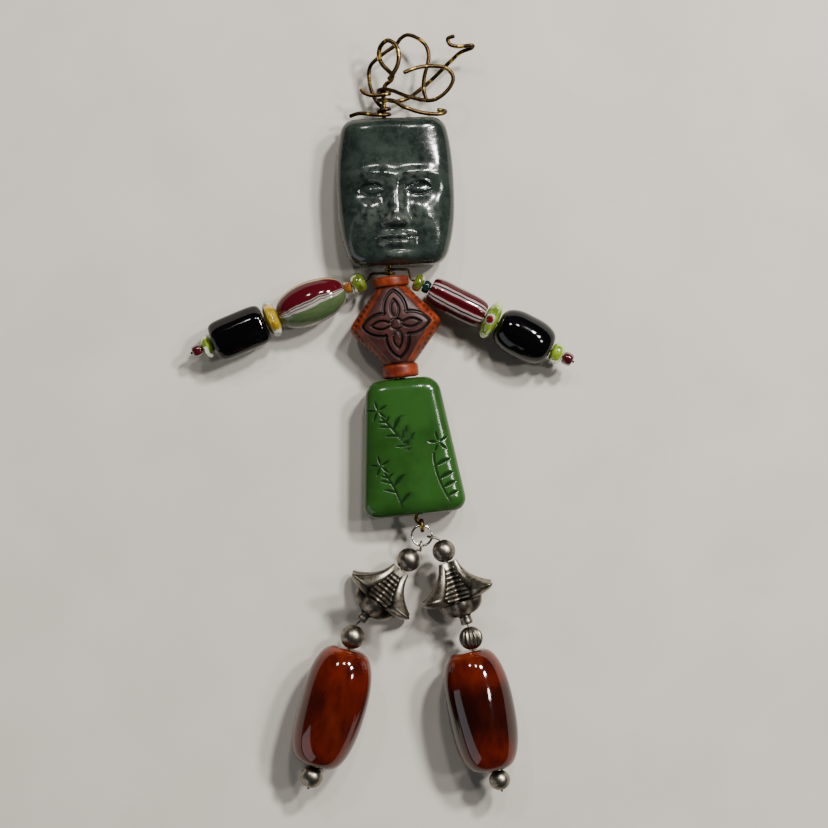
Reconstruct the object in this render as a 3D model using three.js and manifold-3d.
// Bead doll: a flat-lying figure of ceramic, glass, carnelian and silver beads on bent wire.
// Millimetres. It lies on its back on Z = 0 with its face up (+Z) and its head towards +Y.
// Origin: the middle of the figure's outline, at the surface that it lies on.
import * as THREE from 'three';
import Module from 'manifold-3d';
import { mergeVertices } from 'three/addons/utils/BufferGeometryUtils.js';

const wasm = await Module();
wasm.setup();

// Driving dimensions
const AXIS_Z = 4.2;                                  // height of the threading wires above the surface
const CORE_WIRE_R = 0.4;
const ARM_WIRE_R = 0.22;
const LEG_WIRE_R = 0.22;
const HAIR_WIRE_R = 0.38;
const CORE_BORE_R = 0.8;
const ARM_BORE_R = 0.5;
const LEG_BORE_R = 0.55;

const NECK = new THREE.Vector3(1.5, 24.1, AXIS_Z);  // where the arms hang on the core wire
const CORE_TILT = THREE.MathUtils.degToRad(6.2);     // torso and skirt lean: their foot is towards +X
const HEAD_TILT = THREE.MathUtils.degToRad(2);
const LEFT_ARM_SLOPE = THREE.MathUtils.degToRad(22.75);
const RIGHT_ARM_SLOPE = THREE.MathUtils.degToRad(27);

const HEAD = { height: 25.5, width: 20.4, topWidth: 17.4, bottomWidth: 16, depth: 9.4, offset: 1.5 };
const TORSO = {
  bodyHeight: 13.4, width: 15.8, endWidth: 5.2, depth: 8.2, endDepth: 5.6,
  collarR: 3.15, topCollar: 1.8, footCollar: 2.4,
};
const SKIRT = { height: 23.8, topWidth: 12.6, footWidth: 18.4, depth: 7.4, cornerR: 2.6 };
const FAN = {
  length: 9.7, halfWidth: 6.0, halfDepth: 4.6, topHalfWidth: 1.5, domeR: 3.9, stemR: 1.05, stemLength: 1.5,
  tips: 0.56, wingFoot: 0.72,                        // as shares of the length
};
const CARNELIAN = { length: 21, r: 5.9 };
const RING = { r: 1.75, wireR: 0.2 };                // jump ring: centre line and wire radius

const COLOURS = {
  bronze: [0x4a3618, 0.35, 0.9],
  silver: [0x8d857a, 0.35, 0.95],
  steel: [0xb5b5b2, 0.2, 0.95],
  headGlaze: [0x46544d, 0.12, 0],
  redClay: [0x9c3420, 0.4, 0],
  greenGlaze: [0x2f7a2c, 0.2, 0],
  carnelian: [0x8a1e08, 0.1, 0],
  oliveGlass: [0x76891c, 0.08, 0],
  amberGlass: [0x9a6220, 0.1, 0],
  striped: [0x7d1a26, 0.08, 0],
  yellowGlass: [0xc79a14, 0.1, 0],
  greenGlass: [0x7fae22, 0.1, 0],
  blackGlass: [0x0b0a0c, 0.05, 0],
  limeGlass: [0xa8d020, 0.06, 0],
  redGlass: [0x5c0f1c, 0.1, 0],
  tealGlass: [0x12383c, 0.1, 0.2],
};

const figure = new THREE.Group();

// ---- helpers -------------------------------------------------------------------------------

function addMesh(parent, name, geometry, colour) {
  const [color, roughness, metalness] = COLOURS[colour];
  const material = new THREE.MeshStandardMaterial({ color, roughness, metalness });
  const mesh = new THREE.Mesh(geometry, material);
  mesh.name = name;
  parent.add(mesh);
  return mesh;
}

function toSolid(geometry) {
  const bare = geometry.clone();
  bare.deleteAttribute('normal');
  bare.deleteAttribute('uv');
  const merged = mergeVertices(bare, 1e-4);
  return new wasm.Manifold(new wasm.Mesh({
    numProp: 3,
    vertProperties: Float32Array.from(merged.attributes.position.array),
    triVerts: Uint32Array.from(merged.index.array),
  }));
}

function toGeometry(solid) {
  const mesh = solid.getMesh();
  const geometry = new THREE.BufferGeometry();
  geometry.setAttribute('position', new THREE.BufferAttribute(mesh.vertProperties, 3));
  geometry.setIndex(new THREE.BufferAttribute(mesh.triVerts, 1));
  geometry.computeVertexNormals();
  return geometry;
}

// A closed body from stacked rings of points, capped at both ends.
function skinned(rings) {
  const sides = rings[0].length;
  const last = rings.length - 1;
  const positions = rings.flat().flatMap((p) => p.toArray());
  const index = [];
  [rings[0], rings[last]].forEach((ring) => {
    const centre = ring.reduce((sum, p) => sum.add(p), new THREE.Vector3()).divideScalar(sides);
    positions.push(...centre.toArray());
  });
  const lowCentre = positions.length / 3 - 2;
  for (let i = 0; i < sides; i += 1) {
    const next = (i + 1) % sides;
    for (let j = 0; j < last; j += 1) {
      const a = j * sides + i;
      const b = j * sides + next;
      index.push(a, a + sides, b, b, a + sides, b + sides);
    }
    index.push(lowCentre, i, next);
    index.push(lowCentre + 1, last * sides + next, last * sides + i);
  }
  const geometry = new THREE.BufferGeometry();
  geometry.setAttribute('position', new THREE.Float32BufferAttribute(positions, 3));
  geometry.setIndex(index);
  return geometry;
}

// A round wire of radius r through the given points on a smooth curve, with flat snipped ends.
// Each stretch between two points takes as many steps as it needs to stay round.
function wireThrough(points, r, sides = 8, stepsPerStretch = 3) {
  const curve = new THREE.CatmullRomCurve3(points, false, 'centripetal');
  const centres = curve.getPoints((points.length - 1) * stepsPerStretch);
  const normal = new THREE.Vector3(0.31, 0.17, 0.93);
  const rings = centres.map((centre, i) => {
    const before = centres[Math.max(i - 1, 0)];
    const after = centres[Math.min(i + 1, centres.length - 1)];
    const tangent = after.clone().sub(before).normalize();
    normal.addScaledVector(tangent, -normal.dot(tangent)).normalize();
    const binormal = new THREE.Vector3().crossVectors(tangent, normal);
    return Array.from({ length: sides }, (_, k) => {
      const angle = (-2 * Math.PI * k) / sides;
      const p = centre.clone();
      p.addScaledVector(normal, r * Math.cos(angle));
      return p.addScaledVector(binormal, r * Math.sin(angle));
    });
  });
  return skinned(rings);
}

// A bead turned about Y, with its bore: outer is [radius, y] from the low end to the high end.
function turned(outer, boreR, segments) {
  const low = outer[0][1];
  const high = outer[outer.length - 1][1];
  const ring = [[boreR, low], ...outer, [boreR, high], [boreR, low]];
  return new THREE.LatheGeometry(ring.map(([r, y]) => new THREE.Vector2(r, y)), segments);
}

// Barrel profile: a superellipse cut off at the bore's mouth. power 2 is an olive, more is boxier.
function barrel(length, r, mouthR, power, points) {
  const outer = [];
  for (let i = 0; i <= points; i += 1) {
    const angle = Math.PI * (i / points - 0.5);
    const c = Math.cos(angle) ** (2 / power);
    const s = Math.sign(Math.sin(angle)) * Math.abs(Math.sin(angle)) ** (2 / power);
    outer.push([mouthR + (r - mouthR) * c, (s * length) / 2]);
  }
  return outer;
}

// A closed body through levels, low to high along Y: pointAt(level, angle) gives its skin.
function lofted(levels, sides, pointAt) {
  return skinned(levels.map((level) => (
    Array.from({ length: sides }, (_, i) => pointAt(level, (2 * Math.PI * i) / sides))
  )));
}

// A point of a superellipse section: half-width along X, half-depth along Z.
function superellipse(angle, halfWidth, halfDepth, power) {
  const c = Math.cos(angle);
  const s = Math.sin(angle);
  const x = Math.sign(c) * halfWidth * Math.abs(c) ** (2 / power);
  const z = Math.sign(s) * halfDepth * Math.abs(s) ** (2 / power);
  return [x, z];
}

// Bored along Y on its own axis, and cut flat at the surface that the figure lies on.
function boredAndSeated(geometry, boreR, length) {
  const bore = toSolid(new THREE.CylinderGeometry(boreR, boreR, length, 16));
  const below = toSolid(new THREE.BoxGeometry(40, length, 10).translate(0, 0, -AXIS_Z - 5));
  return toGeometry(toSolid(geometry).subtract(bore).subtract(below));
}

// How much an edge rounded with radius r draws in at a distance along from the end of a piece.
function edgeInset(along, r) {
  if (along >= r) return 0;
  return r - Math.sqrt(r * r - (r - along) ** 2);
}

// Levels from -half to +half, closer together within r of both ends.
function roundedLevels(half, r, arcSteps, middleSteps) {
  const levels = [];
  for (let i = 0; i < arcSteps; i += 1) {
    levels.push(-half + r * (1 - Math.cos((0.5 * Math.PI * i) / arcSteps)));
  }
  for (let i = 0; i < middleSteps; i += 1) levels.push(-half + r + (2 * (half - r) * i) / middleSteps);
  const upper = levels.slice(0, arcSteps).map((y) => -y);
  return [...levels, half - r, ...upper.reverse()];
}

// A wire's eye: three quarters of a turn round centre, in the plane of out and side. It ends beside
// the centre, at r along side, where the wire runs off along out.
function eyePoints(centre, r, out, side) {
  const steps = 6;
  const sweep = 1.5 * Math.PI;
  return Array.from({ length: steps + 1 }, (_, i) => {
    const angle = 0.5 * Math.PI + sweep * (1 - i / steps);
    const p = centre.clone().addScaledVector(out, r * Math.cos(angle));
    return p.addScaledVector(side, r * Math.sin(angle));
  });
}

// ---- head, torso and skirt -----------------------------------------------------------------

// The core axis bends at the neck: each group's Y runs up its own stretch of the wire.
const lowerCore = new THREE.Group();
lowerCore.position.copy(NECK);
lowerCore.rotation.z = CORE_TILT;
const upperCore = new THREE.Group();
upperCore.position.copy(NECK);
upperCore.rotation.z = HEAD_TILT;
figure.add(lowerCore, upperCore);

const HEAD_FOOT = 0.85;                              // along the wire from the neck point
const TORSO_TOP = -1.05;
const TORSO_LENGTH = TORSO.bodyHeight + TORSO.topCollar + TORSO.footCollar;
const SKIRT_TOP = TORSO_TOP - TORSO_LENGTH - 0.2;

function headGeometry() {
  const half = HEAD.height / 2;
  const edgeR = 2.2;
  const frontDepth = HEAD.depth - AXIS_Z;
  const backDepth = AXIS_Z + 0.5;                    // trimmed flat at the resting surface
  const body = lofted(roundedLevels(half, edgeR, 3, 6), 28, (y, angle) => {
    const t = y / half;
    const ends = t > 0 ? HEAD.topWidth : HEAD.bottomWidth;
    const width = HEAD.width + (ends - HEAD.width) * Math.abs(t) ** 2.6;
    const inset = edgeInset(half - Math.abs(y), edgeR);
    const depth = Math.sin(angle) > 0 ? frontDepth : backDepth;
    const [x, z] = superellipse(angle, width / 2 - inset * 0.7, depth - inset * 0.8, 3.2);
    return new THREE.Vector3(x + HEAD.offset, y, z);
  });
  return boredAndSeated(body, CORE_BORE_R, HEAD.height + 4);
}

const head = addMesh(upperCore, 'head_bead', headGeometry(), 'headGlaze');
head.position.y = HEAD_FOOT + HEAD.height / 2;

function torsoGeometry() {
  const half = TORSO.bodyHeight / 2;
  const steps = 10;
  const levels = Array.from({ length: steps + 1 }, (_, i) => -half + (2 * half * i) / steps);
  const body = lofted(levels, 24, (y, angle) => {
    const t = Math.abs(y) / half;
    const roundedCorner = Math.sqrt(t * t + 0.02) - Math.sqrt(0.02) * (1 - t);
    const halfWidth = (TORSO.width + (TORSO.endWidth - TORSO.width) * roundedCorner) / 2;
    const halfDepth = (TORSO.depth + (TORSO.endDepth - TORSO.depth) * t * t) / 2;
    const [x, z] = superellipse(angle, halfWidth, halfDepth, 2.9 - 0.7 * t);
    return new THREE.Vector3(x, y, z);
  });
  const collar = (height, y) => {
    const r = TORSO.collarR;
    const chamfer = 0.5;
    const profile = [[0, -height / 2], [r - chamfer, -height / 2], [r, chamfer - height / 2],
      [r, height / 2 - chamfer], [r - chamfer, height / 2], [0, height / 2]];
    const disc = new THREE.LatheGeometry(profile.map(([x, v]) => new THREE.Vector2(x, v)), 24);
    return toSolid(disc.translate(0, y, 0));
  };
  const bury = 0.4;                                  // each collar starts inside the diamond's end
  const topHeight = TORSO.topCollar + bury;
  const footHeight = TORSO.footCollar + bury;
  const joined = toSolid(body)
    .add(collar(topHeight, half + TORSO.topCollar - topHeight / 2))
    .add(collar(footHeight, -half - TORSO.footCollar + footHeight / 2));
  return boredAndSeated(toGeometry(joined), CORE_BORE_R, TORSO_LENGTH + 10);
}

const torso = addMesh(lowerCore, 'torso_bead', torsoGeometry(), 'redClay');
torso.position.y = TORSO_TOP - TORSO.topCollar - TORSO.bodyHeight / 2;

function skirtGeometry() {
  const half = SKIRT.height / 2;
  const frontDepth = SKIRT.depth - AXIS_Z;
  const backDepth = AXIS_Z + 0.4;                    // trimmed flat at the resting surface
  const body = lofted(roundedLevels(half, SKIRT.cornerR, 4, 4), 28, (y, angle) => {
    const t = (y + half) / SKIRT.height;
    const width = SKIRT.footWidth + (SKIRT.topWidth - SKIRT.footWidth) * t;
    const inset = edgeInset(half - Math.abs(y), SKIRT.cornerR);
    const depth = Math.sin(angle) > 0 ? frontDepth : backDepth;
    const [x, z] = superellipse(angle, width / 2 - inset, depth - inset * 0.75, 3.6);
    return new THREE.Vector3(x, y, z);
  });
  return boredAndSeated(body, CORE_BORE_R, SKIRT.height + 4);
}

const skirt = addMesh(lowerCore, 'skirt_bead', skirtGeometry(), 'greenGlaze');
skirt.position.y = SKIRT_TOP - SKIRT.height / 2;

// ---- core wire and hair --------------------------------------------------------------------

const X = new THREE.Vector3(1, 0, 0);
const Z = new THREE.Vector3(0, 0, 1);
const vec = (x, y, z) => new THREE.Vector3(x, y, z);
const along = (group, y) => group.localToWorld(vec(0, y, 0));
figure.updateMatrixWorld(true);

const CORE_EYE_R = 0.85;
const SKIRT_FOOT = SKIRT_TOP - SKIRT.height;
const EYE_DROP = 1.85;                               // from the skirt's foot to the eye's centre
const EYE_SHIFT = 0.8;                               // the foot's eye is bent this far towards +X
const HEAD_TOP = HEAD_FOOT + HEAD.height;
const upCore = along(lowerCore, 0).sub(along(lowerCore, -1));
const coreEye = along(lowerCore, SKIRT_FOOT - EYE_DROP).add(vec(EYE_SHIFT, 0, CORE_EYE_R));
const stemX = along(upperCore, HEAD_TOP + 2).x;      // the stem that the hair is bound round

function coreWireGeometry() {
  const foot = eyePoints(coreEye, CORE_EYE_R, upCore, Z.clone().negate());
  const threaded = [along(lowerCore, SKIRT_FOOT - 0.9), along(lowerCore, SKIRT_FOOT), along(lowerCore, -2),
    along(lowerCore, -0.6), along(upperCore, 0.6), along(upperCore, 2), along(upperCore, HEAD_TOP - 1),
    vec(stemX, 51.5, AXIS_Z), vec(stemX, 55.6, AXIS_Z)];
  const curl = [vec(0.8, 56.5, 4.2), vec(1.7, 57.2, 4.5), vec(2, 58, 4.9), vec(1.2, 58.9, 5.2),
    vec(0.2, 59.9, 5.6), vec(-0.35, 61.3, 6), vec(0, 62.9, 6.4), vec(1.2, 63.8, 6.8), vec(2.6, 62.9, 7),
    vec(3.1, 61.2, 7.2), vec(2.9, 59.5, 7.3), vec(2.2, 58.1, 7.3), vec(1.3, 56.9, 7.2)];
  return wireThrough([...foot, ...threaded, ...curl], CORE_WIRE_R, 7, 3);
}

addMesh(figure, 'core_wire', coreWireGeometry(), 'bronze');

// Turns of a hair wire round the core wire's stem, from angle start to end, rising from y.
function bindingTurns(y, start, end) {
  const r = CORE_WIRE_R + HAIR_WIRE_R + 0.2;
  const rise = 0.95;                                 // per turn
  const steps = Math.round(Math.abs(end - start) / (Math.PI / 4));
  return Array.from({ length: steps + 1 }, (_, i) => {
    const angle = start + ((end - start) * i) / steps;
    const height = y + (rise * Math.abs(angle - start)) / (2 * Math.PI);
    return vec(stemX + r * Math.cos(angle), height, AXIS_Z + r * Math.sin(angle));
  });
}

const quarter = Math.PI / 2;

// The tall curl: a tail over the head's left shoulder, the left arc, the peak and the right side.
const tallCurl = [vec(-5.5, 50.95, 4.6), vec(-3.8, 51.4, 5.1), vec(-1.6, 51.2, 5.3),
  ...bindingTurns(51.1, quarter, -5 * quarter),
  vec(-0.7, 53.6, 3.1), vec(-1.6, 55.4, 3), vec(-2.1, 57.6, 3), vec(-1.9, 59.8, 3.2), vec(-0.4, 61.4, 3.4),
  vec(2.6, 63.6, 3.6), vec(3.4, 64.6, 3.8), vec(4.5, 65.2, 4), vec(6, 64.8, 4.2), vec(7.7, 63.4, 4.6),
  vec(8.3, 61.5, 5), vec(8, 59.6, 5.2), vec(7.5, 57.6, 5.2), vec(7.4, 55.6, 5.2), vec(7.9, 53.7, 5.2)];
addMesh(figure, 'hair_wire_tall', wireThrough(tallCurl, HAIR_WIRE_R, 6, 2), 'bronze');

// The tail: a flat loop on the head's right, a low arc, and the long tail with its kinked hook.
const tail = [vec(9.8, 52.3, 3), vec(11.2, 52, 3.6), vec(10.6, 51.4, 4.8), vec(7.5, 51.4, 5.6),
  vec(4, 52.4, 6.2), vec(1.9, 53.6, 5.8), ...bindingTurns(53.6, quarter, 3 * quarter),
  vec(2.4, 53.8, 2.9), vec(4.7, 54.4, 2.6), vec(6.8, 55.9, 2.4), vec(8.6, 57.4, 2.4), vec(9.9, 58.6, 2.8),
  vec(12, 60.6, 3.4), vec(13.9, 62.2, 4), vec(15.8, 62.9, 4.4), vec(15.9, 63.2, 5.1), vec(13.4, 63, 5.2),
  vec(11.9, 63.4, 5.4), vec(11.6, 64.3, 5.5), vec(12.8, 64.8, 5.6)];
addMesh(figure, 'hair_wire_tail', wireThrough(tail, HAIR_WIRE_R, 6, 2), 'bronze');

// The right loop: a short end on the left, one binding turn and the wide loop on the right.
const rightLoop = [vec(-3.5, 55.6, 5.4), vec(-2.9, 54.9, 5.6), vec(-1.5, 54.5, 5.4),
  ...bindingTurns(54.7, quarter, -3 * quarter),
  vec(2.2, 55.2, 5.8), vec(5, 54, 7), vec(9, 53.4, 7.4), vec(11.6, 55.2, 7.4), vec(12.5, 57.3, 7.4),
  vec(11.3, 58.9, 7.4), vec(8, 59.2, 7.8), vec(5.8, 58.7, 8.4), vec(3.9, 57.9, 8.8)];
addMesh(figure, 'hair_wire_loop', wireThrough(rightLoop, HAIR_WIRE_R, 6, 2), 'bronze');

// ---- arms ----------------------------------------------------------------------------------

const BEAD_GAP = 0.1;
const STEM_RISE = 0.82;                              // an arm's eye: its radius round the core wire

// Each bead: name, length, radius, mouth radius, profile power, colour. Shoulder to hand.
const LEFT_ARM = {
  side: -1, slope: LEFT_ARM_SLOPE, shoulder: vec(-2.2, 22.7, AXIS_Z), eyeY: -0.45, firstBead: 0.7,
  beads: [
    ['left_olive_seed', 2.4, 1.85, 0.75, 2.2, 'oliveGlass'],
    ['left_amber_seed', 1.4, 1.1, 0.7, 2.4, 'amberGlass'],
    ['left_striped_oval', 12.2, 3.9, 1.0, 2.0, 'striped'],
    ['left_yellow_spacer', 2.3, 3.2, 0.9, 2.2, 'yellowGlass'],
    ['left_black_tube', 9.8, 3.75, 1.4, 5.0, 'blackGlass'],
    ['left_lime_rondelle', 2.0, 2.15, 0.8, 2.2, 'limeGlass'],
    ['left_stopper_seed', 1.7, 1.1, 0.7, 2.4, 'redGlass'],
  ],
};
const RIGHT_ARM = {
  side: 1, slope: RIGHT_ARM_SLOPE, shoulder: vec(5.1, 22.75, AXIS_Z), eyeY: 0.25, firstBead: 0.8,
  beads: [
    ['right_olive_seed', 1.6, 1.6, 0.75, 2.2, 'oliveGlass'],
    ['right_teal_seed', 1.3, 1.15, 0.7, 2.4, 'tealGlass'],
    ['right_striped_tube', 10.5, 2.7, 1.2, 4.0, 'striped'],
    ['right_green_spacer', 2.5, 3.45, 0.9, 2.2, 'greenGlass'],
    ['right_black_oval', 10.3, 4.0, 1.2, 2.6, 'blackGlass'],
    ['right_lime_bead', 2.2, 1.95, 0.8, 2.2, 'limeGlass'],
    ['right_stopper_seed', 1.8, 1.15, 0.7, 2.4, 'redGlass'],
  ],
};

function addArm(name, { side, slope, shoulder, eyeY, firstBead, beads }) {
  const arm = new THREE.Group();
  arm.position.copy(shoulder);
  arm.rotation.z = side * -(quarter + slope);
  figure.add(arm);
  let reach = firstBead;
  beads.forEach(([bead, length, r, mouthR, power, colour]) => {
    const steps = r > 2.5 ? 8 : 5;
    const sides = r > 2.5 ? 18 : 12;
    const geometry = turned(barrel(length, r, mouthR, power, steps), ARM_BORE_R, sides);
    addMesh(arm, bead, geometry, colour).position.y = reach + length / 2;
    reach += length + BEAD_GAP;
  });
  arm.updateMatrixWorld(true);
  const eye = NECK.clone().add(vec(0, eyeY, 0));
  const out = X.clone().multiplyScalar(side);
  const stem = eye.clone().addScaledVector(Z, STEM_RISE);
  const points = [...eyePoints(eye, STEM_RISE, out, Z), stem.clone().addScaledVector(out, 0.9),
    stem.clone().addScaledVector(out, 2.2).addScaledVector(Z, -0.4),
    eye.clone().add(vec(side * 3.2, side * 0.02 - 0.12, 0.1)),
    along(arm, 0.2), along(arm, 0.9), along(arm, reach / 2), along(arm, reach + 0.3)];
  addMesh(figure, name, wireThrough(points, ARM_WIRE_R, 6), 'bronze');
}

addArm('left_arm_wire', LEFT_ARM);
addArm('right_arm_wire', RIGHT_ARM);

// ---- jump ring and legs --------------------------------------------------------------------

const LEG_Z = 5.95;
const LEG_EYE_R = 0.8;
const RING_SLIT = 0.12;                              // half the angle of the ring's open joint
const ringCentre = coreEye.clone().add(vec(0, -RING.r, 0));

function ringGeometry() {
  const steps = 30;
  const start = 0.2 * Math.PI + RING_SLIT;           // the slit faces up and to the right
  const sweep = 2 * Math.PI - 2 * RING_SLIT;
  const points = Array.from({ length: steps + 1 }, (_, i) => {
    const angle = start + (sweep * i) / steps;
    return vec(RING.r * Math.cos(angle), RING.r * Math.sin(angle), 0);
  });
  return wireThrough(points, RING.wireR, 6, 1);
}

addMesh(figure, 'jump_ring', ringGeometry(), 'steel').position.copy(ringCentre);

// How far the fan bead's wings and its sides stand out at share t of its length.
function fanReach(t) {
  const flare = Math.min(t / FAN.tips, 1);
  const rounding = Math.max((t - FAN.tips) / (FAN.wingFoot - FAN.tips), 0);
  const spread = 0.25 * flare + 0.75 * flare ** 2.6;
  const outermost = FAN.topHalfWidth + (FAN.halfWidth - FAN.topHalfWidth) * spread;
  const wing = outermost * Math.SQRT2 * Math.sqrt(1 - 0.75 * rounding ** 2);
  const side = 1.3 + 1.9 * Math.min(t / FAN.wingFoot, 1);
  return { wing: Math.max(wing, side), side };
}

// Fan bead: four winged edges that flare from a narrow top into blunt tips, flat sides between them,
// a dome underneath and a short stem. It hangs down -Y from its top at Y = 0.
function fanGeometry() {
  const winged = [0, 0.1, 0.2, 0.3, 0.4, 0.48, 0.53, FAN.tips, 0.62, 0.68, FAN.wingFoot];
  const levels = [...winged, 0.76, 0.84, 0.91, 0.96, 1];
  const body = lofted(levels.map((t) => -t * FAN.length).reverse(), 24, (y, angle) => {
    const t = -y / FAN.length;
    const { wing, side } = fanReach(Math.min(t, FAN.wingFoot));
    const corner = Math.abs(Math.sin(2 * angle)) ** 2.4;
    const below = Math.max((t - FAN.wingFoot) / (1 - FAN.wingFoot), 0);
    const dome = FAN.domeR * (0.15 + 0.85 * Math.sqrt(Math.max(1 - below * below, 0)));
    const reach = below > 0 ? dome : side + (wing - side) * corner;
    return vec(reach * Math.cos(angle), y, reach * Math.sin(angle) * (FAN.halfDepth / FAN.halfWidth));
  });
  const stem = new THREE.CylinderGeometry(FAN.stemR, FAN.stemR, FAN.stemLength + 0.6, 16);
  stem.translate(0, -FAN.length - FAN.stemLength / 2 + 0.3, 0);
  const bore = new THREE.CylinderGeometry(LEG_BORE_R, LEG_BORE_R, 3 * FAN.length, 12);
  return toGeometry(toSolid(body).add(toSolid(stem)).subtract(toSolid(bore)));
}

// Carnelian barrel, turned about an axis that stands off the bore by offset.
function carnelianGeometry(offset) {
  const profile = barrel(CARNELIAN.length, CARNELIAN.r, 1.9, 2.5, 10).map(([r, y]) => vec(r, y, 0));
  const half = CARNELIAN.length / 2;
  const closed = [vec(0, -half, 0), ...profile, vec(0, half, 0)];
  const stone = new THREE.LatheGeometry(closed.map((p) => new THREE.Vector2(p.x, p.y)), 22);
  stone.translate(offset, 0, 0);
  const bore = new THREE.CylinderGeometry(LEG_BORE_R, LEG_BORE_R, 2 * CARNELIAN.length, 12);
  return toGeometry(toSolid(stone).subtract(toSolid(bore)));
}

const LEFT_LEG = {
  name: 'left', hip: vec(4.8, -26.05, LEG_Z), hipLean: -0.67,
  knee: vec(-4.9, -39.4, LEG_Z), kneeLean: -0.286, ringAngle: -0.53 * Math.PI,
  hipR: 2.05, kneeR: 2.1, endR: 1.95, stoneOffset: 0,
};
const RIGHT_LEG = {
  name: 'right', hip: vec(10.9, -24.5, LEG_Z), hipLean: 0.314,
  knee: vec(15.6, -39.6, LEG_Z), kneeLean: 0.2, ringAngle: -0.055 * Math.PI,
  hipR: 2, kneeR: 2.05, endR: 1.8, stoneOffset: -0.8,
};

function ball(r) {
  const mouthR = LEG_BORE_R + 0.15;
  const outer = [];
  const steps = 6;
  const edge = Math.acos(mouthR / r);
  for (let i = 0; i <= steps; i += 1) {
    const angle = -edge + (2 * edge * i) / steps;
    outer.push([r * Math.cos(angle), r * Math.sin(angle)]);
  }
  return turned(outer, LEG_BORE_R, 14);
}

function addLeg({ name, hip, hipLean, knee, kneeLean, ringAngle, hipR, kneeR, endR, stoneOffset }) {
  const upper = new THREE.Group();
  upper.position.copy(hip);
  upper.rotation.z = hipLean;
  const lower = new THREE.Group();
  lower.position.copy(knee);
  lower.rotation.z = kneeLean;
  figure.add(upper, lower);
  addMesh(upper, `${name}_hip_ball`, ball(hipR), 'silver');
  const fanTop = -hipR - BEAD_GAP;
  addMesh(upper, `${name}_fan_bead`, fanGeometry(), 'silver').position.y = fanTop;
  addMesh(lower, `${name}_knee_ball`, ball(kneeR), 'silver');
  const stoneTop = -kneeR - BEAD_GAP;
  const stone = addMesh(lower, `${name}_carnelian`, carnelianGeometry(stoneOffset), 'carnelian');
  stone.position.y = stoneTop - CARNELIAN.length / 2;
  const endY = stoneTop - CARNELIAN.length - BEAD_GAP - endR;
  addMesh(lower, `${name}_end_ball`, ball(endR), 'silver').position.y = endY;
  upper.updateMatrixWorld(true);
  lower.updateMatrixWorld(true);

  const out = vec(Math.cos(ringAngle), Math.sin(ringAngle), 0);
  const eye = ringCentre.clone().addScaledVector(out, RING.r + 0.1);
  eye.z = LEG_Z - LEG_EYE_R;
  const stem = eye.clone().addScaledVector(Z, LEG_EYE_R);
  const fanFoot = fanTop - FAN.length - FAN.stemLength;
  const points = [...eyePoints(eye, LEG_EYE_R, out, Z), stem.clone().addScaledVector(out, 0.5),
    along(upper, hipR), along(upper, hipR - 0.6), along(upper, 0), along(upper, fanFoot + 0.8),
    along(upper, fanFoot), along(lower, kneeR + 0.1), along(lower, kneeR - 0.7), along(lower, 0),
    along(lower, endY + endR), along(lower, endY), along(lower, endY - endR - 0.3)];
  addMesh(figure, `${name}_leg_wire`, wireThrough(points, LEG_WIRE_R, 6), 'silver');
}

addLeg(LEFT_LEG);
addLeg(RIGHT_LEG);

export default figure;
